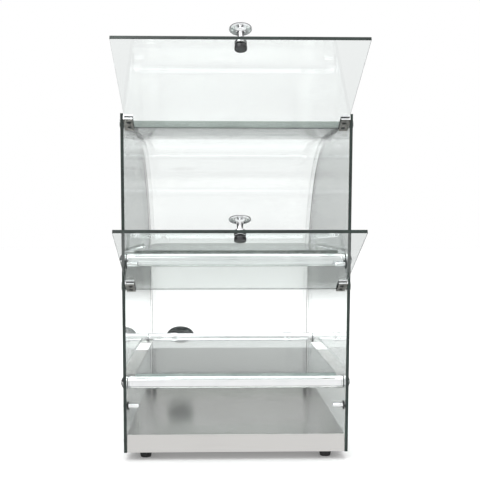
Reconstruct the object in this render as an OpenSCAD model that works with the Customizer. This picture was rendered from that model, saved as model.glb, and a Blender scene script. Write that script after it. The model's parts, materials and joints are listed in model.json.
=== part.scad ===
/* [Case] */
// Width over the two side glasses
case_w = 355; // [300:5:900]
// Height of the side glasses, without the feet
glass_h = 530; // [530:1:531]
// Thickness of every flat pane
glass_t = 5; // [5:0.1:5.4]
// Radius of the curved front edge of a side glass
curve_r = 380; // [375:1:382]
// How far the door edge leans out at the top
lean = 50; // [46:1:52]
// Distance from the middle of the feet to the foot of the door edge
back_y = 299; // [298:1:300]
// Distance from the middle of the feet to the front edge
front_y = 299; // [299:1:301]

/* [Base] */
// Height of the base with its deck
base_h = 28; // [24:1:28]
// Thickness of the base sheet metal
sheet_t = 1.5; // [1:0.1:2]
// Height of a foot
foot_h = 13; // [9:1:24]
// Half the distance between feet across the case
foot_x = 145; // [100:1:145]
// Half the distance between feet along the case
foot_y = 269; // [220:1:269]

/* [Shelves] */
// Height of the lower tubes' centres above the foot of the glass
lower_zg = 108; // [100:1:120]
// Height of the middle tubes' centres above the foot of the glass
middle_zg = 308; // [308:1:309]
// Outer diameter of a shelf tube
tube_d = 20; // [18:1:20]
// Distance of a near tube's centre from the door edge
tube_inset = 33; // [33:0.5:34]
// Where the lower far tube's centre is
lower_far_y = 195; // [150:1:215]
// Where the middle far tube's centre is
middle_far_y = 226; // [200:1:228]

/* [Doors] */
// Angle of an open door above the horizontal
open_deg = 22; // [10:1:22]
// Height of the upper door's hinge above the foot of the glass
upper_hinge_zg = 515; // [513:1:515]
// Height of the lower door's hinge above the foot of the glass
lower_hinge_zg = 265; // [264:1:266]
// Distance of the hinge axes from the door edge
hinge_inset = 9; // [9:0.1:9.4]
// Length of the upper door from its hinge to its free edge
upper_door_l = 236; // [200:1:237]
// Length of the lower door from its hinge to its free edge
lower_door_l = 232; // [200:1:233]
// Diameter of a knob's head
knob_d = 30.5; // [24:0.5:32]
// Height of a knob
knob_h = 25; // [25:1:30]

/* [Hidden] */
$fn = 64;
big_fn = 180;
gap = 0.3;
inner_x = case_w / 2 - glass_t;
outer_x = case_w / 2;
deck_z = foot_h + base_h;
top_z = foot_h + glass_h;
lean_deg = atan(lean / glass_h);

// the origin is on the floor under the middle of the whole object with its doors open
upper_hinge_back = back_y + lean * upper_hinge_zg / glass_h - hinge_inset / cos(lean_deg);
open_door_back = upper_hinge_back + upper_door_l * cos(open_deg) + glass_t / 2 * sin(open_deg);
feet_y = (open_door_back - front_y) / 2;
foot_edge_y = feet_y - back_y;
front_edge_y = feet_y + front_y;
arc_y = front_edge_y - curve_r;
arc_z = top_z - curve_r;

// bent glass and its seals, as depths below the side glass's outline
bent_out = 7;
bent_in = bent_out + glass_t;
bent_half_w = inner_x - 1.5;
bent_back_inset = 27;
lip_t = 1.6;
lip_foot_depth = 16;
lip_grip = 8;
seal_t = 1.1;
seal_w = 10;
gasket_t = 1.5;
bent_foot_z = deck_z + gasket_t;

// tubes
tube_r = tube_d / 2;
tube_wall = 1.5;
washer_t = 0.5;
ferrule_l = 6.5;
spigot_l = 12;
stud_tip_in = 8;
spigot_r = tube_r - tube_wall;
ferrule_x = inner_x - washer_t;
tube_half_l = ferrule_x - ferrule_l;
cap_l = 6;
dome_rise = 4.5;
dome_r = (tube_r * tube_r + dome_rise * dome_rise) / (2 * dome_rise);
stud_r = 2.5;
stud_hole_r = 3.2;

// shelves
pad_t = 0.8;
shelf_half_w = 160;
shelf_edge_inset = 22;
shelf_far_past_tube = 13;
lower_far_rise = tube_d / 2 + pad_t + glass_t / 2;
clip_wall = 1.5;
clip_reach = 15;
clip_t = 2;
clip_w = 14;
clip_x = 120;
lower_edge_gap = 1;

// doors and hinges
door_half_w = inner_x - 2.2;
door_back = 10;
clamp_back = 12;
clamp_front = 25;
clamp_half_t = 5.2;
clamp_outer_x = inner_x - 0.9;
clamp_w = 14;
liner_t = 0.5;
pin_r = 3;
bush_r = 5.4;
bush_bore_r = pin_r + 0.05;
knob_from_edge = 15.5;
crown_rise = 3.8;
crown_r = (knob_d * knob_d / 4 + crown_rise * crown_rise) / (2 * crown_rise);
knob_hole_r = 3;
knob_screw_r = 2;
knob_screw_in = 10;

// stop pins
stop_r = 3.5;
stop_l = 18;
stop_inset = hinge_inset + glass_t / 2 + gap + stop_r;
upper_stop_zg = 302;
lower_stop_zg = 73;
collar_r = 7;
collar_l = 1.8;
stop_thread_l = 7;
stop_screw_r = 2;
stop_screw_hole_r = 2.5;

// places on the leaning door edge
function edge_y(zg) = foot_edge_y - lean * zg / glass_h;
function inset_y(zg, inset) = edge_y(zg) + inset / cos(lean_deg);
function at(zg, inset) = [0, inset_y(zg, inset), foot_h + zg];

upper_axis = at(upper_hinge_zg, hinge_inset);
lower_axis = at(lower_hinge_zg, hinge_inset);
lower_near = at(lower_zg, tube_inset);
middle_near = at(middle_zg, tube_inset);
lower_far = [0, feet_y + lower_far_y, foot_h + lower_zg + lower_far_rise];
middle_far = [0, feet_y + middle_far_y, foot_h + middle_zg];
tubes = [lower_near, lower_far, middle_near, middle_far];
lower_glass_end = lower_far[1] - tube_r - clip_wall - lower_edge_gap;
lower_glass_foot = foot_h + lower_zg + tube_r + pad_t;
stops = [at(upper_stop_zg, stop_inset), at(lower_stop_zg, stop_inset)];
base_screw_step = 180;
base_screw_y = [for (k = [-1.5, -0.5, 0.5, 1.5]) feet_y + k * base_screw_step];
feet_places = [for (x = [-foot_x, foot_x], y = [-foot_y, foot_y]) [x, feet_y + y, 0]];
base_screw_z = foot_h + base_h / 2;
base_screw_r = 2;
base_screw_hole_r = 3.2;

steel = [0.82, 0.81, 0.79];
chrome = [0.86, 0.87, 0.88];
pane = [0.75, 0.86, 0.82, 0.35];
clear = [0.9, 0.93, 0.92, 0.6];
grey = [0.68, 0.72, 0.7];
black = [0.12, 0.12, 0.12];

// ---- helpers ----

// stands a shape drawn in the Y-Z plane up and gives it its thickness along X
module side_extrude(x0, x1) {
    translate([x0, 0, 0]) rotate([90, 0, 90]) linear_extrude(x1 - x0) children();
}

// a cylinder along X from x0 to x1
module rod(r, x0, x1) {
    translate([x0, 0, 0]) rotate([0, 90, 0]) cylinder(r = r, h = x1 - x0);
}

// everything drawn for the right side, and again mirrored for the left side
module both_sides() {
    children();
    mirror([1, 0, 0]) children();
}

// what lies under a curved top and front at a depth below the side glass's outline
module bent_outline(depth, back, foot_z) {
    over = 10;
    difference() {
        translate([back, foot_z]) square([front_edge_y - depth - back, top_z - depth - foot_z]);
        difference() {
            translate([arc_y, arc_z]) square([curve_r + over, curve_r + over]);
            translate([arc_y, arc_z]) circle(r = curve_r - depth, $fn = big_fn);
        }
    }
}

// the bent sheet's section between two depths
module bent_section(d_out, d_in, foot_z) {
    back = inset_y(glass_h, bent_back_inset);
    difference() {
        bent_outline(d_out, back, foot_z);
        bent_outline(d_in, back - 1, foot_z - 1);
    }
}

// puts a shape drawn in a door's own frame in place: +Y runs to the free edge, +Z is the outer face
module on_door(axis) {
    translate(axis) rotate([180 - open_deg, 0, 0]) mirror([0, 0, 1]) children();
}

// ---- side glasses ----

module side_outline() {
    over = 10;
    difference() {
        polygon([[foot_edge_y, foot_h], [edge_y(glass_h), top_z],
                 [front_edge_y, top_z], [front_edge_y, foot_h]]);
        difference() {
            translate([arc_y, arc_z]) square([curve_r + over, curve_r + over]);
            translate([arc_y, arc_z]) circle(r = curve_r, $fn = big_fn);
        }
    }
}

module side_glass() {
    over = 1;
    difference() {
        side_extrude(inner_x, outer_x) side_outline();
        for (p = tubes) translate(p) rod(stud_hole_r, inner_x - over, outer_x + over);
        for (p = [upper_axis, lower_axis]) translate(p) rod(bush_r, inner_x - over, outer_x + over);
        for (p = stops) translate(p) rod(stop_screw_hole_r, inner_x - over, outer_x + over);
        for (y = base_screw_y)
            translate([0, y, base_screw_z]) rod(base_screw_hole_r, inner_x - over, outer_x + over);
    }
}

module left_side_glass() {
    color(pane) mirror([1, 0, 0]) side_glass();
}

module right_side_glass() {
    color(pane) side_glass();
}

// ---- bent top-and-front glass ----

module bent_front_glass() {
    color(pane) side_extrude(-bent_half_w, bent_half_w) bent_section(bent_out, bent_in, bent_foot_z);
}

// a clear channel that wraps a side edge of the bent glass
module seal_strip() {
    side_extrude(bent_half_w, inner_x) bent_section(bent_out - seal_t, bent_in + seal_t, bent_foot_z);
    side_extrude(inner_x - seal_w, bent_half_w) bent_section(bent_in, bent_in + seal_t, bent_foot_z);
    side_extrude(inner_x - seal_w, bent_half_w) bent_section(bent_out - seal_t, bent_out, bent_foot_z);
}

module left_seal_strip() {
    color(clear) mirror([1, 0, 0]) seal_strip();
}

module right_seal_strip() {
    color(clear) seal_strip();
}

module front_glass_gasket() {
    color(clear) translate([-inner_x, front_edge_y - bent_in - seal_t, deck_z])
        cube([2 * inner_x, glass_t + 2 * seal_t, gasket_t]);
}

// a channel over the bent glass's rear edge, with a lip that hangs down behind the upper door
module rear_edge_lip() {
    back = inset_y(glass_h, bent_back_inset);
    half_w = inner_x - seal_w - gap;
    color(grey) side_extrude(-half_w, half_w) {
        translate([back - lip_t, top_z - lip_foot_depth]) square([lip_t, lip_foot_depth - bent_out + seal_t]);
        translate([back, top_z - bent_out]) square([lip_grip, seal_t]);
        translate([back, top_z - bent_in - seal_t]) square([lip_grip, seal_t]);
    }
}

// ---- base ----

base_back_inset = 2;
base_back_y = foot_edge_y + base_back_inset;
base_front_y = front_edge_y - bent_out + 0.5;
base_half_w = inner_x - 0.2;
frame_top = deck_z - sheet_t;
deck_lip = 0.5;

module base_frame() {
    inner_l = base_front_y - base_back_y - 2 * sheet_t;
    color(steel) difference() {
        translate([-base_half_w, base_back_y, foot_h])
            cube([2 * base_half_w, base_front_y - base_back_y, frame_top - foot_h]);
        translate([-base_half_w + sheet_t, base_back_y + sheet_t, foot_h - 1])
            cube([2 * (base_half_w - sheet_t), inner_l, frame_top - foot_h - sheet_t + 1]);
        both_sides() for (y = base_screw_y)
            translate([0, y, base_screw_z]) rod(base_screw_r, base_half_w - 2 * sheet_t, outer_x);
        for (x = [-fascia_screw_x, fascia_screw_x])
            translate([x, base_front_y + 1, base_screw_z]) rotate([90, 0, 0])
                cylinder(r = base_screw_r, h = 3 * sheet_t);
    }
}

module deck_panel() {
    color(steel) translate([-base_half_w, base_back_y - deck_lip, frame_top])
        cube([2 * base_half_w, base_front_y - base_back_y + deck_lip, sheet_t]);
}

module bottom_plate() {
    slack = 0.2;
    color(steel) difference() {
        translate([-base_half_w + sheet_t + slack, base_back_y + sheet_t + slack, foot_h])
            cube([2 * (base_half_w - sheet_t - slack),
                  base_front_y - base_back_y - 2 * (sheet_t + slack), sheet_t]);
        for (p = feet_places)
            translate(p + [0, 0, foot_h - 1]) cylinder(r = foot_screw_r, h = sheet_t + 2);
    }
}

fascia_top = deck_z + 55;
fascia_t = 1.2;
fascia_hem = 9;
fascia_y = base_front_y;
fascia_screw_x = 120;
fascia_foot_gap = 2;
fascia_step_below_deck = 4;

// a strip over the base's front face and the foot of the bent glass, with its top edge folded over
module front_fascia() {
    clear_y = front_edge_y - bent_out + seal_t + 0.2;
    foot_z = foot_h + fascia_foot_gap;
    step_z = deck_z - fascia_step_below_deck;
    color(steel) difference() {
        side_extrude(-base_half_w, base_half_w) polygon([
            [fascia_y, foot_z], [fascia_y + fascia_t, foot_z], [fascia_y + fascia_t, step_z],
            [clear_y + fascia_t, step_z + 1], [clear_y + fascia_t, fascia_top - fascia_hem],
            [clear_y + 2 * fascia_t, fascia_top - fascia_hem], [clear_y + 2 * fascia_t, fascia_top],
            [clear_y, fascia_top], [clear_y, step_z + 1], [fascia_y, step_z]]);
        for (x = [-fascia_screw_x, fascia_screw_x])
            translate([x, fascia_y + fascia_t + 1, base_screw_z]) rotate([90, 0, 0])
                cylinder(r = base_screw_r, h = fascia_t + 2);
    }
}

module fascia_screws() {
    head_r = 3.8;
    head_face_r = 2.6;
    head_h = 1.6;
    tip = 3;
    color(chrome) for (x = [-fascia_screw_x, fascia_screw_x])
        translate([x, fascia_y + fascia_t, base_screw_z]) {
            rotate([90, 0, 0]) cylinder(r = base_screw_r, h = fascia_t + sheet_t + tip);
            rotate([-90, 0, 0]) cylinder(r1 = head_r, r2 = head_face_r, h = head_h);
        }
}

badge_w = 61;
badge_h = 41;
badge_x = -109;
badge_zg = 115;
badge_t = 1;

module oval_badge() {
    steps = 72;
    color([0.3, 0.31, 0.32]) translate([badge_x, front_edge_y - bent_out + badge_t, foot_h + badge_zg])
        rotate([90, 0, 0]) linear_extrude(badge_t)
            polygon([for (i = [0:steps - 1])
                [badge_w / 2 * cos(360 * i / steps), badge_h / 2 * sin(360 * i / steps)]]);
}

washer_side_t = 1;

module base_side_screws() {
    head_r = 4.5;
    head_face_r = 3.1;
    head_h = 2.4;
    tip = 2;
    color(chrome) both_sides() for (y = base_screw_y) translate([0, y, base_screw_z]) {
        rod(base_screw_r, base_half_w - sheet_t - tip, outer_x + washer_side_t);
        translate([outer_x + washer_side_t, 0, 0]) rotate([0, 90, 0])
            cylinder(r1 = head_r, r2 = head_face_r, h = head_h);
    }
}

module base_side_washers() {
    washer_r = 5.5;
    color(clear) both_sides() for (y = base_screw_y) translate([0, y, base_screw_z]) difference() {
        rod(washer_r, outer_x, outer_x + washer_side_t);
        rod(base_screw_r, outer_x - 1, outer_x + washer_side_t + 1);
    }
}

foot_top_r = 10.3;
foot_low_r = 8.5;
foot_screw_r = 2;
foot_well_r = 4.6;
foot_web = 3;

module rubber_feet() {
    color(black) for (p = feet_places) translate(p) difference() {
        cylinder(r1 = foot_low_r, r2 = foot_top_r, h = foot_h);
        translate([0, 0, -1]) cylinder(r = foot_screw_r, h = foot_h + 2);
        translate([0, 0, -1]) cylinder(r = foot_well_r, h = foot_h - foot_web + 1);
    }
}

module foot_screws() {
    head_r = 4;
    head_h = 2.5;
    tip = 3;
    head_z = foot_h - foot_web - head_h;
    color(chrome) for (p = feet_places) translate(p + [0, 0, head_z]) {
        cylinder(r = head_r, h = head_h);
        cylinder(r = foot_screw_r, h = head_h + foot_web + sheet_t + tip);
    }
}

// ---- shelf tubes ----

module shelf_tube(place) {
    color(chrome) translate(place) difference() {
        rod(tube_r, -tube_half_l, tube_half_l);
        rod(spigot_r, -tube_half_l - 1, tube_half_l + 1);
    }
}

module lower_near_tube() {
    shelf_tube(lower_near);
}

module lower_far_tube() {
    shelf_tube(lower_far);
}

module middle_near_tube() {
    shelf_tube(middle_near);
}

module middle_far_tube() {
    shelf_tube(middle_far);
}

// end fittings: a visible ring as wide as the tube, and a spigot inside it
module tube_ferrules() {
    color(chrome) both_sides() for (p = tubes) translate(p) difference() {
        union() {
            rod(tube_r, tube_half_l, ferrule_x);
            rod(spigot_r, tube_half_l - spigot_l, tube_half_l);
        }
        rod(stud_r, tube_half_l - spigot_l - 1, ferrule_x + 1);
    }
}

// domed caps outside the glass, each with its stud
module tube_end_caps() {
    rim = cap_l - dome_rise;
    cap_x = outer_x + washer_t;
    color(chrome) both_sides() for (p = tubes) translate(p) {
        rod(stud_r, tube_half_l - stud_tip_in, cap_x);
        translate([cap_x, 0, 0]) rotate([0, 90, 0]) rotate_extrude() {
            square([tube_r, rim]);
            translate([0, rim]) intersection() {
                square([tube_r, cap_l - rim]);
                translate([0, cap_l - rim - dome_r]) circle(r = dome_r, $fn = big_fn);
            }
        }
    }
}

tube_washer_r = tube_r - 0.5;

module tube_washers() {
    color(clear) both_sides() for (p = tubes, x = [inner_x - washer_t, outer_x])
        translate(p) difference() {
            rod(tube_washer_r, x, x + washer_t);
            rod(stud_hole_r, x - 1, x + washer_t + 1);
        }
}

// ---- shelves ----

pad_r = 5;
pad_x = 120;

// a pane on pads, from the near tube's side to a far end
module shelf_glass(near, far_end) {
    z = near[2] + tube_r + pad_t;
    y0 = inset_y(z - foot_h, shelf_edge_inset);
    color(pane) translate([-shelf_half_w, y0, z])
        cube([2 * shelf_half_w, far_end - y0, glass_t]);
}

module shelf_pads(places) {
    color(clear) for (x = [-pad_x, pad_x], p = places)
        translate([x, p[0], p[1]]) cylinder(r = pad_r, h = pad_t);
}

module lower_shelf_glass() {
    shelf_glass(lower_near, lower_glass_end);
}

module lower_shelf_pads() {
    shelf_pads([[lower_near[1], lower_near[2] + tube_r],
                [lower_glass_end - pad_r - 2, lower_glass_foot - pad_t]]);
}

// saddles round the lower far tube, each with a tongue that carries the glass's far edge
module lower_shelf_clips() {
    tongue_top = lower_glass_foot - pad_t;
    color(chrome) both_sides() difference() {
        union() {
            translate(lower_far) rod(tube_r + clip_wall, clip_x - clip_w / 2, clip_x + clip_w / 2);
            translate([clip_x - clip_w / 2, lower_glass_end - clip_reach, tongue_top - clip_t])
                cube([clip_w, clip_reach + clip_wall + tube_r, clip_t]);
        }
        translate(lower_far) rod(tube_r, clip_x - clip_w, clip_x + clip_w);
    }
}

module middle_shelf_glass() {
    shelf_glass(middle_near, middle_far[1] + shelf_far_past_tube);
}

module middle_shelf_pads() {
    shelf_pads([for (p = [middle_near, middle_far]) [p[1], p[2] + tube_r]]);
}

// ---- doors ----

module door_glass(axis, length) {
    color(pane) on_door(axis) difference() {
        translate([-door_half_w, -door_back, -glass_t / 2])
            cube([2 * door_half_w, length + door_back, glass_t]);
        translate([0, length - knob_from_edge, -glass_t]) cylinder(r = knob_hole_r, h = 2 * glass_t);
    }
}

clamp_screw_y = [-2, 13];
clamp_screw_r = 2;
clamp_screw_x = clamp_outer_x - 8;
liner_short = 3;
jaw_half = glass_t / 2 + liner_t;

// a chrome channel that slips over the glass from the side
module hinge_clamps(axis) {
    color(chrome) on_door(axis) both_sides() difference() {
        translate([clamp_outer_x - clamp_w, -clamp_back, -clamp_half_t])
            cube([clamp_w, clamp_back + clamp_front, 2 * clamp_half_t]);
        translate([clamp_outer_x - clamp_w - 1, -clamp_back - 1, -jaw_half])
            cube([door_half_w - clamp_outer_x + clamp_w + 1, clamp_back + clamp_front + 2, 2 * jaw_half]);
        for (y = clamp_screw_y)
            translate([clamp_screw_x, y, -clamp_half_t - 1]) cylinder(r = clamp_screw_r, h = clamp_half_t);
    }
}

module clamp_liners(axis) {
    color(black) on_door(axis) both_sides() for (z = [-jaw_half, glass_t / 2])
        translate([clamp_outer_x - clamp_w + 0.5, -door_back, z])
            cube([clamp_w - liner_short, door_back + clamp_front - 1, liner_t]);
}

module clamp_screws(axis) {
    proud = 0.8;
    head_r = 3.4;
    head_face_r = 2.6;
    head_h = 1.4;
    color(chrome) on_door(axis) both_sides() for (y = clamp_screw_y)
        translate([clamp_screw_x, y, 0]) {
            translate([0, 0, -clamp_half_t - proud])
                cylinder(r = clamp_screw_r, h = clamp_half_t + proud - jaw_half);
            translate([0, 0, -clamp_half_t - head_h]) cylinder(r1 = head_face_r, r2 = head_r, h = head_h);
        }
}

module hinge_pins(axis) {
    color(chrome) translate(axis) both_sides() rod(pin_r, clamp_outer_x, outer_x - 0.5);
}

// a mushroom knob: collar, waisted neck and crowned head
module door_knob(axis, length) {
    head_r = knob_d / 2;
    collar_r = knob_d * 0.27;
    collar_h = 4;
    step = 1;
    neck_low_r = knob_d * 0.13;
    neck_top_r = knob_d * 0.175;
    brim_z = knob_h - crown_rise - 2.2;
    brim_in = 1.5;
    edge_low = brim_z + 1.2;
    edge_top = brim_z + 2.2;
    color(chrome) on_door(axis) translate([0, length - knob_from_edge, glass_t / 2 + washer_t])
        rotate_extrude() difference() {
            union() {
                square([collar_r, collar_h]);
                translate([0, collar_h]) square([collar_r - step, step]);
                polygon([[0, collar_h], [neck_low_r, collar_h + step], [neck_top_r, brim_z - step],
                         [head_r - brim_in, brim_z], [head_r, edge_low], [head_r, edge_top], [0, edge_top]]);
                translate([0, edge_top]) intersection() {
                    square([head_r, knob_h]);
                    translate([0, crown_rise - crown_r]) circle(r = crown_r, $fn = big_fn);
                }
            }
            square([knob_screw_r, knob_screw_in]);
        }
}

module knob_screw(axis, length) {
    head_r = 8.4;
    head_h = 4.9;
    round_h = 0.8;
    color(chrome) on_door(axis)
        translate([0, length - knob_from_edge, -glass_t / 2 - washer_t]) {
            cylinder(r = knob_screw_r, h = glass_t + 2 * washer_t + knob_screw_in);
            translate([0, 0, -head_h]) cylinder(r = head_r, h = head_h);
            translate([0, 0, -head_h - round_h]) cylinder(r1 = head_r - round_h, r2 = head_r, h = round_h);
        }
}

module knob_washers(axis, length) {
    washer_r = 7.8;
    hole_r = 2.6;
    color(clear) on_door(axis) for (z = [-glass_t / 2 - washer_t, glass_t / 2])
        translate([0, length - knob_from_edge, z]) difference() {
            cylinder(r = washer_r, h = washer_t);
            translate([0, 0, -1]) cylinder(r = hole_r, h = washer_t + 2);
        }
}

module upper_door_glass() {
    door_glass(upper_axis, upper_door_l);
}

module upper_hinge_clamps() {
    hinge_clamps(upper_axis);
}

module upper_clamp_liners() {
    clamp_liners(upper_axis);
}

module upper_clamp_screws() {
    clamp_screws(upper_axis);
}

module upper_hinge_pins() {
    hinge_pins(upper_axis);
}

module upper_door_knob() {
    door_knob(upper_axis, upper_door_l);
}

module upper_knob_screw() {
    knob_screw(upper_axis, upper_door_l);
}

module upper_knob_washers() {
    knob_washers(upper_axis, upper_door_l);
}

module lower_door_glass() {
    door_glass(lower_axis, lower_door_l);
}

module lower_hinge_clamps() {
    hinge_clamps(lower_axis);
}

module lower_clamp_liners() {
    clamp_liners(lower_axis);
}

module lower_clamp_screws() {
    clamp_screws(lower_axis);
}

module lower_hinge_pins() {
    hinge_pins(lower_axis);
}

module lower_door_knob() {
    door_knob(lower_axis, lower_door_l);
}

module lower_knob_screw() {
    knob_screw(lower_axis, lower_door_l);
}

module lower_knob_washers() {
    knob_washers(lower_axis, lower_door_l);
}

// ---- fittings on the side glasses ----

// nylon bushes: a sleeve through the glass, a thin flange inside and a closed cap outside
module hinge_bushes() {
    flange_t = 0.5;
    flange_r = bush_r + 1.2;
    cap_t = 1.2;
    color(clear) both_sides() for (p = [upper_axis, lower_axis]) translate(p) difference() {
        union() {
            rod(bush_r, inner_x - flange_t, outer_x);
            rod(flange_r, inner_x - flange_t, inner_x);
            rod(flange_r, outer_x, outer_x + cap_t);
        }
        rod(bush_bore_r, inner_x - flange_t - 1, outer_x);
    }
}

module stop_pins() {
    color(chrome) both_sides() for (p = stops) translate(p) difference() {
        rod(stop_r, inner_x - stop_l, inner_x);
        rod(stop_screw_r, inner_x - stop_thread_l - 1, inner_x + 1);
    }
}

module stop_pin_collars() {
    color(black) both_sides() for (p = stops) translate(p) difference() {
        rod(collar_r, inner_x - collar_l, inner_x);
        rod(stop_r, inner_x - collar_l - 1, inner_x + 1);
    }
}

module stop_pin_screws() {
    head_r = 4.2;
    head_face_r = 3;
    head_h = 1.8;
    color(chrome) both_sides() for (p = stops) translate(p) {
        rod(stop_screw_r, inner_x - stop_thread_l, outer_x);
        translate([outer_x, 0, 0]) rotate([0, 90, 0]) cylinder(r1 = head_r, r2 = head_face_r, h = head_h);
    }
}

left_side_glass();
right_side_glass();
bent_front_glass();
left_seal_strip();
right_seal_strip();
front_glass_gasket();
rear_edge_lip();
base_frame();
deck_panel();
bottom_plate();
front_fascia();
fascia_screws();
oval_badge();
base_side_screws();
base_side_washers();
rubber_feet();
foot_screws();
lower_near_tube();
lower_far_tube();
middle_near_tube();
middle_far_tube();
tube_ferrules();
tube_end_caps();
tube_washers();
lower_shelf_clips();
lower_shelf_glass();
lower_shelf_pads();
middle_shelf_glass();
middle_shelf_pads();
upper_door_glass();
upper_hinge_clamps();
upper_clamp_liners();
upper_clamp_screws();
upper_hinge_pins();
upper_door_knob();
upper_knob_screw();
upper_knob_washers();
lower_door_glass();
lower_hinge_clamps();
lower_clamp_liners();
lower_clamp_screws();
lower_hinge_pins();
lower_door_knob();
lower_knob_screw();
lower_knob_washers();
hinge_bushes();
stop_pins();
stop_pin_collars();
stop_pin_screws();
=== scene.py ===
import json
import math

import bmesh
import bpy
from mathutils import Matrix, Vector


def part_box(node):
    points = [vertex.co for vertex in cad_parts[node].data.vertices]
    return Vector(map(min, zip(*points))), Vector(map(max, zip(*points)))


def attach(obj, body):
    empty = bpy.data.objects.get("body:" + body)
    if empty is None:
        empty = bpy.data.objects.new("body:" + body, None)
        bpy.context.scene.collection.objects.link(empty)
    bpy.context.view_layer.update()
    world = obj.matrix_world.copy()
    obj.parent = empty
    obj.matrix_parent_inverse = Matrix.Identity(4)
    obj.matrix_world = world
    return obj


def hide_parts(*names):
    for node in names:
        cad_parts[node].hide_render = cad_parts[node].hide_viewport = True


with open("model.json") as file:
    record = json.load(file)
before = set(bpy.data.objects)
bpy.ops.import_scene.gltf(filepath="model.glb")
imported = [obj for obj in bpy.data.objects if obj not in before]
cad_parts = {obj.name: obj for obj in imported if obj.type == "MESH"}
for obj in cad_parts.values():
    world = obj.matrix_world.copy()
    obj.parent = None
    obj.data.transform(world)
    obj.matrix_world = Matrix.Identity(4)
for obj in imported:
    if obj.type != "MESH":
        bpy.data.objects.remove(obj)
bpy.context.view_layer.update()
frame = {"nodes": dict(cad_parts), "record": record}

MM = 0.001
AIR_FILM = 0.05 * MM
GROUND_EDGE = 0.5 * MM
SAME_POINT = 1e-6
SAME_PLACE = 1e-5
SHARP_CORNER = math.radians(35)
BENT_STEPS = 120
TURN_STEPS = 72
AXIS_R = 0.02
DOOR_LIFT = math.radians(22)

# How bright the studio is to a ray that has been mirrored, where 1 is white.
LOW_WALL, HIGH_WALL = 0.5, 1.15
WALL_TILT = 0.85, 1.3
DOOR_SIDE_WALL = 0.95
FLANK = 0.06
FLOOR_BEFORE, FLOOR_UNDER, FLOOR_BEHIND, FLOOR_FAR = 1.0, 0.35, 1.5, 0.12

CAMERA_PLACE = (-0.036, -1.638, 0.375)
CAMERA_LENS = 69.75
CAMERA_DOWN_DEG = 0.99
CAMERA_RIGHT_DEG = 1.64


# ---- node helpers ----

def new_material(name):
    """An empty node material and its Principled shader, joined to the output."""
    mat = bpy.data.materials.new(name)
    mat.use_nodes = True
    tree = mat.node_tree
    tree.nodes.clear()
    out = tree.nodes.new("ShaderNodeOutputMaterial")
    shader = tree.nodes.new("ShaderNodeBsdfPrincipled")
    tree.links.new(shader.outputs[0], out.inputs["Surface"])
    return mat, tree, shader, out


def place(tree, stretch=(1, 1, 1)):
    """Object coordinates in metres, stretched for grain that runs one way."""
    coord = tree.nodes.new("ShaderNodeTexCoord")
    mapping = tree.nodes.new("ShaderNodeMapping")
    mapping.inputs["Scale"].default_value = stretch
    tree.links.new(coord.outputs["Object"], mapping.inputs["Vector"])
    return mapping.outputs[0]


def noise(tree, vector, scale, detail=3.0, roughness=0.55):
    node = tree.nodes.new("ShaderNodeTexNoise")
    node.inputs["Scale"].default_value = scale
    node.inputs["Detail"].default_value = detail
    node.inputs["Roughness"].default_value = roughness
    tree.links.new(vector, node.inputs["Vector"])
    return node.outputs["Fac"]


def remap(tree, value, low, high, start=0.3, end=0.7):
    """A value from start to end becomes a number from low to high. Noise mostly lies between 0.3 and 0.7."""
    node = tree.nodes.new("ShaderNodeMapRange")
    node.inputs["From Min"].default_value = start
    node.inputs["From Max"].default_value = end
    node.inputs["To Min"].default_value = low
    node.inputs["To Max"].default_value = high
    tree.links.new(value, node.inputs["Value"])
    return node.outputs[0]


def blend_colour(tree, value, low, high):
    node = tree.nodes.new("ShaderNodeMix")
    node.data_type = "RGBA"
    node.inputs["A"].default_value = (*low, 1)
    node.inputs["B"].default_value = (*high, 1)
    tree.links.new(value, node.inputs["Factor"])
    return node.outputs["Result"]


def bump(tree, shader, height, strength, distance):
    node = tree.nodes.new("ShaderNodeBump")
    node.inputs["Strength"].default_value = strength
    node.inputs["Distance"].default_value = distance
    tree.links.new(height, node.inputs["Height"])
    tree.links.new(node.outputs[0], shader.inputs["Normal"])


# ---- materials ----

def clear_material(name, roughness, ior, absorb, density, wave):
    """Something clear that bends light, darkens along its length and lets lamps through."""
    mat, tree, shader, out = new_material(name)
    shader.inputs["Base Color"].default_value = (1, 1, 1, 1)
    shader.inputs["Transmission Weight"].default_value = 1
    shader.inputs["IOR"].default_value = ior
    shader.inputs["Roughness"].default_value = roughness
    bump(tree, shader, noise(tree, place(tree), 9, 1), wave, 0.0004)
    open_shader = tree.nodes.new("ShaderNodeBsdfTransparent")
    light = tree.nodes.new("ShaderNodeLightPath")
    mix = tree.nodes.new("ShaderNodeMixShader")
    tree.links.new(light.outputs["Is Shadow Ray"], mix.inputs[0])
    tree.links.new(shader.outputs[0], mix.inputs[1])
    tree.links.new(open_shader.outputs[0], mix.inputs[2])
    tree.links.new(mix.outputs[0], out.inputs["Surface"])
    volume = tree.nodes.new("ShaderNodeVolumeAbsorption")
    volume.inputs["Color"].default_value = (*absorb, 1)
    volume.inputs["Density"].default_value = density
    tree.links.new(volume.outputs[0], out.inputs["Volume"])
    return mat


def glass_material():
    return clear_material("float_glass", 0.0, 1.5, (0.32, 0.6, 0.52), 16, 0.02)


def ground_edge_material(name, dark, light):
    """The cut edge of a pane, where green glass is seen through its whole width."""
    mat, tree, shader, out = new_material(name)
    where = place(tree)
    grind = noise(tree, where, 1400, 3)
    cloud = noise(tree, where, 28, 2)
    tree.links.new(blend_colour(tree, remap(tree, cloud, 0, 1), dark, light), shader.inputs["Base Color"])
    tree.links.new(remap(tree, grind, 0.16, 0.34), shader.inputs["Roughness"])
    bump(tree, shader, grind, 0.08, 0.0001)
    return mat


def clear_plastic_material():
    return clear_material("clear_plastic", 0.05, 1.4, (0.9, 0.93, 0.92), 12, 0.1)


def nylon_material():
    return clear_material("nylon", 0.25, 1.5, (0.8, 0.82, 0.8), 150, 0.3)


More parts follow.
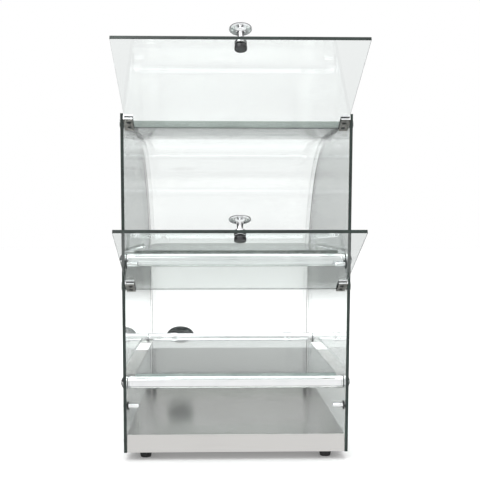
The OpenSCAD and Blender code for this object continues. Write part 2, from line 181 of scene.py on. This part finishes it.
def chrome_material():
    mat, tree, shader, out = new_material("polished_chrome")
    where = place(tree)
    shader.inputs["Metallic"].default_value = 1
    shader.inputs["Specular Tint"].default_value = (0.12, 0.12, 0.125, 1)
    fine = noise(tree, where, 320, 4)
    cloud = noise(tree, where, 22, 2)
    tree.links.new(blend_colour(tree, remap(tree, cloud, 0, 1), (0.83, 0.84, 0.85), (0.9, 0.905, 0.91)),
                   shader.inputs["Base Color"])
    tree.links.new(remap(tree, fine, 0.035, 0.085), shader.inputs["Roughness"])
    bump(tree, shader, fine, 0.02, 0.0002)
    return mat


def brushed_material(name, dark, light, low, high):
    """Steel with its brush lines along X."""
    mat, tree, shader, out = new_material(name)
    lines = noise(tree, place(tree, (2, 260, 260)), 6, 5, 0.7)
    cloud = noise(tree, place(tree), 7, 2)
    shader.inputs["Metallic"].default_value = 1
    shader.inputs["Anisotropic"].default_value = 0.35
    both = tree.nodes.new("ShaderNodeMath")
    both.operation = "MULTIPLY_ADD"
    both.inputs[1].default_value = 0.35
    tree.links.new(lines, both.inputs[2])
    tree.links.new(cloud, both.inputs[0])
    shade = remap(tree, both.outputs[0], 0, 1, 0.4, 0.95)
    tree.links.new(blend_colour(tree, shade, dark, light), shader.inputs["Base Color"])
    tree.links.new(remap(tree, lines, low, high), shader.inputs["Roughness"])
    bump(tree, shader, lines, 0.06, 0.0003)
    return mat


def cast_material(name, dark, light):
    """Metal cast and plated dark, with faint run marks. Its darker copy also paints dark reflections onto
    polished parts.
    """
    mat, tree, shader, out = new_material(name)
    runs = noise(tree, place(tree, (420, 90, 90)), 1.6, 4, 0.65)
    grain = noise(tree, place(tree), 700, 3)
    shader.inputs["Metallic"].default_value = 1
    tree.links.new(blend_colour(tree, remap(tree, runs, 0, 1), dark, light), shader.inputs["Base Color"])
    tree.links.new(remap(tree, grain, 0.24, 0.4), shader.inputs["Roughness"])
    bump(tree, shader, runs, 0.25, 0.0003)
    return mat


def grey_plastic_material():
    """A pale green-grey extrusion, slightly clear, with lines along it."""
    mat, tree, shader, out = new_material("grey_plastic")
    lines = noise(tree, place(tree, (3, 420, 420)), 4, 3)
    cloud = noise(tree, place(tree), 12, 2)
    tree.links.new(blend_colour(tree, remap(tree, cloud, 0, 1), (0.37, 0.42, 0.395), (0.42, 0.47, 0.445)),
                   shader.inputs["Base Color"])
    tree.links.new(remap(tree, lines, 0.28, 0.4), shader.inputs["Roughness"])
    shader.inputs["Transmission Weight"].default_value = 0.25
    bump(tree, shader, lines, 0.08, 0.0002)
    return mat


def rubber_material():
    mat, tree, shader, out = new_material("black_rubber")
    grain = noise(tree, place(tree), 900, 3)
    cloud = noise(tree, place(tree), 60, 2)
    tree.links.new(blend_colour(tree, remap(tree, cloud, 0, 1), (0.012, 0.012, 0.013), (0.03, 0.03, 0.031)),
                   shader.inputs["Base Color"])
    tree.links.new(remap(tree, grain, 0.5, 0.72), shader.inputs["Roughness"])
    bump(tree, shader, grain, 0.25, 0.0002)
    return mat


def badge_material():
    mat, tree, shader, out = new_material("badge_film")
    grain = noise(tree, place(tree), 500, 2)
    cloud = noise(tree, place(tree), 35, 2)
    tree.links.new(blend_colour(tree, remap(tree, cloud, 0, 1), (0.04, 0.043, 0.047), (0.065, 0.068, 0.072)),
                   shader.inputs["Base Color"])
    tree.links.new(remap(tree, grain, 0.28, 0.4), shader.inputs["Roughness"])
    bump(tree, shader, grain, 0.1, 0.0001)
    return mat


MATERIALS = {
    "glass": glass_material(),
    "clear_plastic": clear_plastic_material(),
    "nylon": nylon_material(),
    "grey_plastic": grey_plastic_material(),
    "chrome": chrome_material(),
    "brushed_steel": brushed_material("satin_steel", (0.6, 0.59, 0.575), (0.68, 0.67, 0.655), 0.13, 0.19),
    "black_rubber": rubber_material(),
    "badge_plate": badge_material(),
}
EDGE = ground_edge_material("ground_glass_edge", (0.006, 0.012, 0.01), (0.016, 0.03, 0.025))
FROSTED_EDGE = ground_edge_material("frosted_glass_edge", (0.2, 0.25, 0.235), (0.32, 0.38, 0.36))
CAST = cast_material("cast_zinc", (0.13, 0.12, 0.112), (0.5, 0.475, 0.455))
# Dark metal colour: plain dark metal on the clamp screws, and a painted dark reflection on the polished knob
# screw caps and on the knob rims.
DARK_METAL_AND_PAINTED_REFLECTION = cast_material("dark_metal_and_painted_reflection", (0.05, 0.05, 0.052), (0.12, 0.12, 0.122))
SLOT_OF = {s["node"]: s["material_slot"] for s in frame["record"]["subparts"]}
BODY_OF = {n: body for body, nodes in frame["record"]["behaviour"]["bodies"].items() for n in nodes}


# ---- pieces ----

def add_piece(name, mesh, node, smooth_deg=None):
    """Shows mesh in place of a CAD node, on its body and in its material.

    Its faces stay flat unless smooth_deg is given.
    """
    if smooth_deg is None:
        mesh.shade_flat()
    else:
        mesh.shade_smooth()
        mesh.set_sharp_from_angle(angle=math.radians(smooth_deg))
    mesh.materials.clear()
    mesh.materials.append(MATERIALS[SLOT_OF[node]])
    piece = bpy.data.objects.new(name, mesh)
    bpy.context.scene.collection.objects.link(piece)
    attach(piece, BODY_OF[node])
    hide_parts(node)
    return piece


def refined(node, width, smooth_deg=None, segments=2):
    """The CAD node's own shape with its sharp corners rounded off."""
    bm = bmesh.new()
    bm.from_mesh(frame["nodes"][node].data)
    bmesh.ops.remove_doubles(bm, verts=bm.verts, dist=SAME_POINT)
    if smooth_deg is None:
        bmesh.ops.dissolve_limit(bm, angle_limit=math.radians(0.4), verts=bm.verts, edges=bm.edges)
    edges = [e for e in bm.edges if len(e.link_faces) == 2 and e.calc_face_angle() > SHARP_CORNER]
    bmesh.ops.bevel(bm, geom=edges, offset=width, segments=segments, profile=0.5,
                    affect="EDGES", clamp_overlap=True)
    mesh = bpy.data.meshes.new(node + "_fine")
    bm.to_mesh(mesh)
    bm.free()
    return add_piece(node + "_fine", mesh, node, smooth_deg)


def second_finish(piece, mat, is_there):
    """Gives part of a piece another finish; is_there takes a face and says whether it has it."""
    piece.data.materials.append(mat)
    for face in piece.data.polygons:
        if is_there(face):
            face.material_index = 1


def thinned(piece, way):
    """Draws a pane's two faces in by a film of air, so that they never coincide with what they touch."""
    along = [v.co.dot(way) for v in piece.data.vertices]
    middle = (min(along) + max(along)) / 2
    for vert, here in zip(piece.data.vertices, along):
        vert.co -= way * math.copysign(AIR_FILM, here - middle)


def mesh_from_rings(name, rings):
    """A closed skin through rings of equally many points, with flat ends."""
    count = len(rings[0])
    points = [p for ring in rings for p in ring]
    faces = []
    for row in range(len(rings) - 1):
        here, there = row * count, (row + 1) * count
        for k in range(count):
            after = (k + 1) % count
            faces.append((here + k, here + after, there + after, there + k))
    faces.append(tuple(range(count - 1, -1, -1)))
    faces.append(tuple(range((len(rings) - 1) * count, len(rings) * count)))
    mesh = bpy.data.meshes.new(name)
    mesh.from_pydata(points, [], faces)
    bm = bmesh.new()
    bm.from_mesh(mesh)
    bmesh.ops.recalc_face_normals(bm, faces=bm.faces)
    bm.to_mesh(mesh)
    bm.free()
    return mesh


def bent_glass():
    """The bent sheet with a fine even curve and ground edges."""
    node = "bent_front_glass"
    low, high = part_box(node)
    verts = [v.co for v in frame["nodes"][node].data.vertices]
    flat_end_y = max(v.y for v in verts if v.z > high.z - SAME_PLACE)
    outer_r = high.y - flat_end_y
    centre_z = high.z - outer_r
    inner_top = max(v.z for v in verts if v.z < high.z - MM and abs(v.y - low.y) < SAME_PLACE)
    thick = high.z - inner_top
    foot_z, back_y = low.z + AIR_FILM, low.y + AIR_FILM
    left, right = low.x + AIR_FILM, high.x - AIR_FILM

    def ring(x, cut):
        outer, inner = outer_r - cut - AIR_FILM, outer_r - thick + cut + AIR_FILM
        turns = [math.pi / 2 * (1 - k / BENT_STEPS) for k in range(BENT_STEPS + 1)]
        path = [(back_y + cut, centre_z + outer)]
        path += [(flat_end_y + outer * math.cos(a), centre_z + outer * math.sin(a)) for a in turns]
        path += [(flat_end_y + outer, foot_z + cut), (flat_end_y + inner, foot_z + cut)]
        path += [(flat_end_y + inner * math.cos(a), centre_z + inner * math.sin(a)) for a in reversed(turns)]
        path += [(back_y + cut, centre_z + inner)]
        return [(x, y, z) for y, z in path]

    cut = GROUND_EDGE
    rings = [ring(left, cut), ring(left + cut, 0), ring(right - cut, 0), ring(right, cut)]
    sheet = add_piece(node + "_fine", mesh_from_rings(node + "_fine", rings), node, 30)
    second_finish(sheet, EDGE, lambda face: abs(face.normal.x) > 0.5 or (
        face.center.y < back_y + cut and face.normal.y < -0.5) or face.center.z < foot_z + cut)


def islands(node):
    """The CAD node's separate solids, each as a list of its points."""
    bm = bmesh.new()
    bm.from_mesh(frame["nodes"][node].data)
    bmesh.ops.remove_doubles(bm, verts=bm.verts, dist=SAME_POINT)
    groups = []
    seen = set()
    for start in bm.verts:
        if start.index in seen:
            continue
        seen.add(start.index)
        stack, group = [start], []
        while stack:
            vert = stack.pop()
            group.append(vert.co.copy())
            for edge in vert.link_edges:
                other = edge.other_vert(vert)
                if other.index not in seen:
                    seen.add(other.index)
                    stack.append(other)
        groups.append(group)
    bm.free()
    return groups


def turned(node, axis_of, profile, smooth_deg=32):
    """Turned pieces in place of a node's solids.

    The profile is (depth, radius) pairs in millimetres, from the solid's far end along axis_of(its middle).
    A third item, if there, makes that ring a hexagon. A depth of None is the solid's near end.
    """
    points, faces = [], []
    for group in islands(node):
        middle = sum(group, Vector()) / len(group)
        axis = Vector(axis_of(middle)).normalized()
        side = axis.orthogonal().normalized()
        across = axis.cross(side)
        spans = [(min(v.dot(d) for v in group), max(v.dot(d) for v in group)) for d in (axis, side, across)]
        (near, far), (s0, s1), (a0, a1) = spans
        origin = side * (s0 + s1) / 2 + across * (a0 + a1) / 2
        first = len(points)
        for depth, radius, *hexagon in profile:
            along = near if depth is None else far - depth * MM
            for k in range(TURN_STEPS):
                turn = 2 * math.pi * k / TURN_STEPS
                reach = max(radius, AXIS_R) * MM
                if hexagon:
                    reach /= math.cos((turn + math.pi / 6) % (math.pi / 3) - math.pi / 6)
                points.append(origin + axis * along
                              + (side * math.cos(turn) + across * math.sin(turn)) * reach)
        rows = len(profile)
        for row in range(rows - 1):
            start = first + row * TURN_STEPS
            for k in range(TURN_STEPS):
                a, b = start + k, start + (k + 1) % TURN_STEPS
                faces.append((a, b, b + TURN_STEPS, a + TURN_STEPS))
        faces.append(tuple(range(first + TURN_STEPS - 1, first - 1, -1)))
        last = first + (rows - 1) * TURN_STEPS
        faces.append(tuple(range(last, last + TURN_STEPS)))
    mesh = bpy.data.meshes.new(node + "_fine")
    mesh.from_pydata(points, [], faces)
    bm = bmesh.new()
    bm.from_mesh(mesh)
    bmesh.ops.recalc_face_normals(bm, faces=bm.faces)
    bm.to_mesh(mesh)
    bm.free()
    return add_piece(node + "_fine", mesh, node, smooth_deg)


def outward(middle):
    return (1, 0, 0) if middle.x > 0 else (-1, 0, 0)


def inward(middle):
    return (-1, 0, 0) if middle.x > 0 else (1, 0, 0)


def crown(head_r, rise, start_r, steps=10):
    """Points of a domed head from its top down to its edge, as (depth, radius)."""
    ball = (head_r ** 2 + rise ** 2) / (2 * rise)
    radii = [start_r + (head_r - start_r) * k / steps for k in range(steps + 1)]
    return [(ball - math.sqrt(ball ** 2 - q ** 2), q) for q in radii]


def socket_head(head_r, head_h, socket, depth, shank_r):
    """A domed screw head with a hexagon socket, and its shank."""
    mouth = socket + 0.25
    dome = crown(head_r, head_h * 0.75, mouth / math.cos(math.pi / 6))
    top = dome[0][0]
    floor_of_socket = top + depth
    recess = [(floor_of_socket, AXIS_R), (floor_of_socket, socket, True),
              (top + 0.15, socket, True), (top, mouth, True)]
    skirt = [(head_h - 0.2, head_r), (head_h, head_r - 0.2)]
    return recess + dome[1:] + skirt + [(head_h, shank_r), (None, shank_r)]


DOOR_OUT = (0, math.sin(DOOR_LIFT), math.cos(DOOR_LIFT))
DOOR_IN = (0, -math.sin(DOOR_LIFT), -math.cos(DOOR_LIFT))

# Profiles for turned(): (depth, radius) in millimetres.
KNOB = crown(14.3, 3.35, AXIS_R, 14) + [
    (3.6, 14.9), (3.95, 15.18), (4.4, 15.25), (4.9, 15.1), (5.4, 14.6), (5.8, 13.8), (6.05, 12.6),
    (6.3, 10.6), (6.8, 8.5), (7.5, 6.8), (8.5, 5.6), (10, 4.9), (12, 4.4), (14.5, 4.1), (17, 4), (18.5, 4.15),
    (19.3, 4.6), (19.8, 5.4), (20.1, 6.4), (20.25, 7.1), (20.9, 7.2), (21.05, 7.4), (21.1, 7.8),
    (21.4, 8.1), (21.9, 8.2), (24.2, 8.2), (24.7, 8.05), (25, 7.7)]
KNOB_CAP = crown(7.2, 0.5, AXIS_R, 6) + [
    (0.62, 7.8), (0.85, 8.15), (1.2, 8.35), (1.7, 8.4), (4.9, 8.4), (5.4, 8.3), (5.7, 8), (5.7, 2), (None, 2)]
END_CAP = crown(9.2, 3.6, AXIS_R, 14) + [
    (3.85, 9.6), (4.2, 9.85), (4.6, 10), (5.5, 10), (5.8, 9.9), (6, 9.7), (6, 2.5), (None, 2.5)]
FOOT = [(10, 2), (10, 4.6), (0.9, 4.6), (0.3, 4.75), (0, 5.2), (0, 7.3), (0.2, 7.9), (0.7, 8.35), (1.4, 8.6),
        (11.6, 10.15), (12.4, 10.2), (12.8, 10.05), (13, 9.7), (13, 2)]
STOP_PIN = [(0.9, AXIS_R), (0.9, 1.5), (0.6, 1.7), (0, 1.8), (0, 3), (0.15, 3.3), (0.5, 3.5), (None, 3.5)]
COLLAR = [(0, 3.5), (0, 6.4), (0.15, 6.8), (0.5, 7), (1.5, 7), (None, 6.8), (None, 3.5)]


# Radius beyond which the knob head's rim faces get a painted dark reflection: dark metal colour drawing the
# dark outline that the chrome mirrors there.
KNOB_RIM_R = 14.8 * MM

# The way through each flat pane.
THIN_WAY = {"left_side_glass": (1, 0, 0), "right_side_glass": (1, 0, 0), "lower_shelf_glass": (0, 0, 1),
            "middle_shelf_glass": (0, 0, 1), "upper_door_glass": DOOR_OUT, "lower_door_glass": DOOR_OUT}
# Heads coloured dark metal: on the polished knob screw caps this is a painted dark reflection, on the clamp
# screws plain dark metal.
DARK_HEADS = ("upper_knob_screw", "lower_knob_screw", "upper_clamp_screws", "lower_clamp_screws")
CLAMPS = ("upper_hinge_clamps", "lower_hinge_clamps")
CLAMP_BEVEL = 0.9
FLAT_BEVELS = {"rear_edge_lip": 0.25, "base_frame": 0.6, "deck_panel": 0.4, "front_fascia": 0.35,
               "bottom_plate": 0.4}
ROUND_BEVELS = {"tube_ferrules": 0.5, "lower_shelf_clips": 0.3, "hinge_bushes": 0.35, "upper_hinge_pins": 0.3,
                "lower_hinge_pins": 0.3, "base_side_washers": 0.3, "upper_knob_washers": 0.1,
                "lower_knob_washers": 0.1, "oval_badge": 0.25}

TURNED = {
    "upper_door_knob": (DOOR_OUT, KNOB), "lower_door_knob": (DOOR_OUT, KNOB),
    "upper_knob_screw": (DOOR_IN, KNOB_CAP), "lower_knob_screw": (DOOR_IN, KNOB_CAP),
    "upper_clamp_screws": (DOOR_IN, socket_head(3.4, 1.4, 1.1, 0.7, 2)),
    "lower_clamp_screws": (DOOR_IN, socket_head(3.4, 1.4, 1.1, 0.7, 2)),
    "tube_end_caps": (outward, END_CAP),
    "base_side_screws": (outward, socket_head(4.5, 2.4, 1.6, 1.5, 2)),
    "stop_pin_screws": (outward, socket_head(4.2, 1.8, 1.5, 1.1, 2)),
    "fascia_screws": ((0, 1, 0), socket_head(3.8, 1.6, 1.3, 1, 2)),
    "rubber_feet": ((0, 0, -1), FOOT),
    "stop_pins": (inward, STOP_PIN),
    "stop_pin_collars": (inward, COLLAR),
}

for node, (axis, profile) in TURNED.items():
    piece = turned(node, axis if callable(axis) else (lambda middle, a=axis: a), profile)
    # Painted dark reflection on the knob screw caps, plain dark metal on the clamp screws.
    if node in DARK_HEADS:
        second_finish(piece, DARK_METAL_AND_PAINTED_REFLECTION, lambda face: True)
    # Painted dark reflection: the side faces of each chrome knob head's rim are coloured dark metal to draw
    # its dark outline.
    if profile is KNOB:
        middle = sum((v.co for v in piece.data.vertices), Vector()) / len(piece.data.vertices)
        out_way = Vector(DOOR_OUT)
        second_finish(piece, DARK_METAL_AND_PAINTED_REFLECTION, lambda face: abs(face.normal.dot(out_way)) < 0.45 and (
            (face.center - middle).cross(out_way).length > KNOB_RIM_R))
for node, way in THIN_WAY.items():
    pane, thin = refined(node, GROUND_EDGE), Vector(way)
    thinned(pane, thin)
    edge = FROSTED_EDGE if node == "lower_shelf_glass" else EDGE
    second_finish(pane, edge, lambda face: abs(face.normal.dot(thin)) < 0.9)
for node in CLAMPS:
    clamp = refined(node, CLAMP_BEVEL * MM, None, 3)
    second_finish(clamp, CAST, lambda face: face.normal.dot(Vector(DOOR_IN)) > 0.9)
for node, width in FLAT_BEVELS.items():
    refined(node, width * MM)
for node, width in ROUND_BEVELS.items():
    refined(node, width * MM, 30)
bent_glass()
for obj in frame["nodes"].values():
    obj.data.materials.clear()
for node, obj in frame["nodes"].items():
    obj.data.materials.append(MATERIALS[SLOT_OF[node]])


# ---- studio ----

def mirrored(tree):
    """1 once a ray has been mirrored on its way from the camera, and 0 before."""
    light = tree.nodes.new("ShaderNodeLightPath")
    once = tree.nodes.new("ShaderNodeMath")
    once.operation = "MINIMUM"
    once.inputs[1].default_value = 1
    tree.links.new(light.outputs["Glossy Depth"], once.inputs[0])
    return once.outputs[0]


def mix_number(tree, factor, low, high):
    """low where factor is 0 and high where it is 1; each is a number or a node's output."""
    node = tree.nodes.new("ShaderNodeMix")
    tree.links.new(factor, node.inputs["Factor"])
    for socket, value in ((node.inputs["A"], low), (node.inputs["B"], high)):
        if isinstance(value, (int, float)):
            socket.default_value = value
        else:
            tree.links.new(value, socket)
    return node.outputs["Result"]


def soft_white_room():
    """A white room. In mirrors its walls are greyer than its ceiling, so metal and glass show their form."""
    world = bpy.data.worlds.new("studio")
    bpy.context.scene.world = world
    world.use_nodes = True
    tree = world.node_tree
    back = tree.nodes["Background"]
    back.inputs["Color"].default_value = (1, 1, 1, 1)
    coord = tree.nodes.new("ShaderNodeTexCoord")
    split = tree.nodes.new("ShaderNodeSeparateXYZ")
    tree.links.new(coord.outputs["Generated"], split.inputs[0])
    walls = remap(tree, split.outputs["Z"], LOW_WALL, HIGH_WALL, 0.3, 0.62)
    tilt = tree.nodes.new("ShaderNodeMath")
    tilt.operation = "MULTIPLY"
    tree.links.new(remap(tree, split.outputs["X"], *WALL_TILT, -0.25, 0.25), tilt.inputs[0])
    tree.links.new(walls, tilt.inputs[1])
    door_side = remap(tree, split.outputs["Y"], 1, 0, -0.85, -0.35)
    walls = mix_number(tree, door_side, tilt.outputs[0], DOOR_SIDE_WALL)
    size_x = tree.nodes.new("ShaderNodeMath")
    size_x.operation = "ABSOLUTE"
    tree.links.new(split.outputs["X"], size_x.inputs[0])
    walls = mix_number(tree, remap(tree, size_x.outputs[0], 0, 1, 0.6, 0.85), walls, FLANK)
    tree.links.new(mix_number(tree, mirrored(tree), 1.0, walls), back.inputs["Strength"])


def floor_material():
    """A pale floor. In mirrors it is dim under the object, bright around it and dark far behind."""
    mat, tree, shader, out = new_material("studio_floor")
    coord = tree.nodes.new("ShaderNodeTexCoord")
    split = tree.nodes.new("ShaderNodeSeparateXYZ")
    tree.links.new(coord.outputs["Object"], split.inputs[0])
    behind = remap(tree, split.outputs["Y"], FLOOR_UNDER, FLOOR_BEHIND, 0.35, 0.95)
    behind = mix_number(tree, remap(tree, split.outputs["Y"], 0, 1, 2.4, 4.5), behind, FLOOR_FAR)
    shade = mix_number(tree, remap(tree, split.outputs["Y"], 1, 0, -0.22, -0.14), behind, FLOOR_BEFORE)
    shader.inputs["Base Color"].default_value = (0.92, 0.92, 0.92, 1)
    shader.inputs["Roughness"].default_value = 0.7
    shader.inputs["Emission Color"].default_value = (1, 1, 1, 1)
    shader.inputs["Emission Strength"].default_value = 0.12
    reflected = tree.nodes.new("ShaderNodeEmission")
    tree.links.new(shade, reflected.inputs["Strength"])
    mix = tree.nodes.new("ShaderNodeMixShader")
    tree.links.new(mirrored(tree), mix.inputs[0])
    tree.links.new(shader.outputs[0], mix.inputs[1])
    tree.links.new(reflected.outputs[0], mix.inputs[2])
    tree.links.new(mix.outputs[0], out.inputs["Surface"])
    return mat


def floor():
    size = 12
    mesh = bpy.data.meshes.new("studio_floor")
    mesh.from_pydata([(-size, -size, 0), (size, -size, 0), (size, size, 0), (-size, size, 0)], [],
                     [(0, 1, 2, 3)])
    mesh.materials.append(floor_material())
    obj = bpy.data.objects.new("studio_floor", mesh)
    bpy.context.scene.collection.objects.link(obj)


def area_light(name, place_m, target, size, power):
    light = bpy.data.lights.new(name, "AREA")
    light.shape = "RECTANGLE"
    light.size, light.size_y = size
    light.energy = power
    obj = bpy.data.objects.new(name, light)
    obj.location = place_m
    obj.rotation_euler = (Vector(target) - Vector(place_m)).to_track_quat("-Z", "Y").to_euler()
    bpy.context.scene.collection.objects.link(obj)


def camera():
    data = bpy.data.cameras.new("camera")
    data.lens = CAMERA_LENS
    obj = bpy.data.objects.new("camera", data)
    obj.location = CAMERA_PLACE
    obj.rotation_euler = (math.radians(90 - CAMERA_DOWN_DEG), 0, math.radians(-CAMERA_RIGHT_DEG))
    bpy.context.scene.collection.objects.link(obj)
    bpy.context.scene.camera = obj


soft_white_room()
floor()
area_light("key_light", (-1.2, -1.6, 2.6), (0, 0, 0.3), (2.0, 2.0), 30)
area_light("top_light", (0.3, 0.6, 2.8), (0, 0, 0.3), (2.4, 2.4), 30)
camera()
bpy.context.scene.view_settings.view_transform = "Standard"
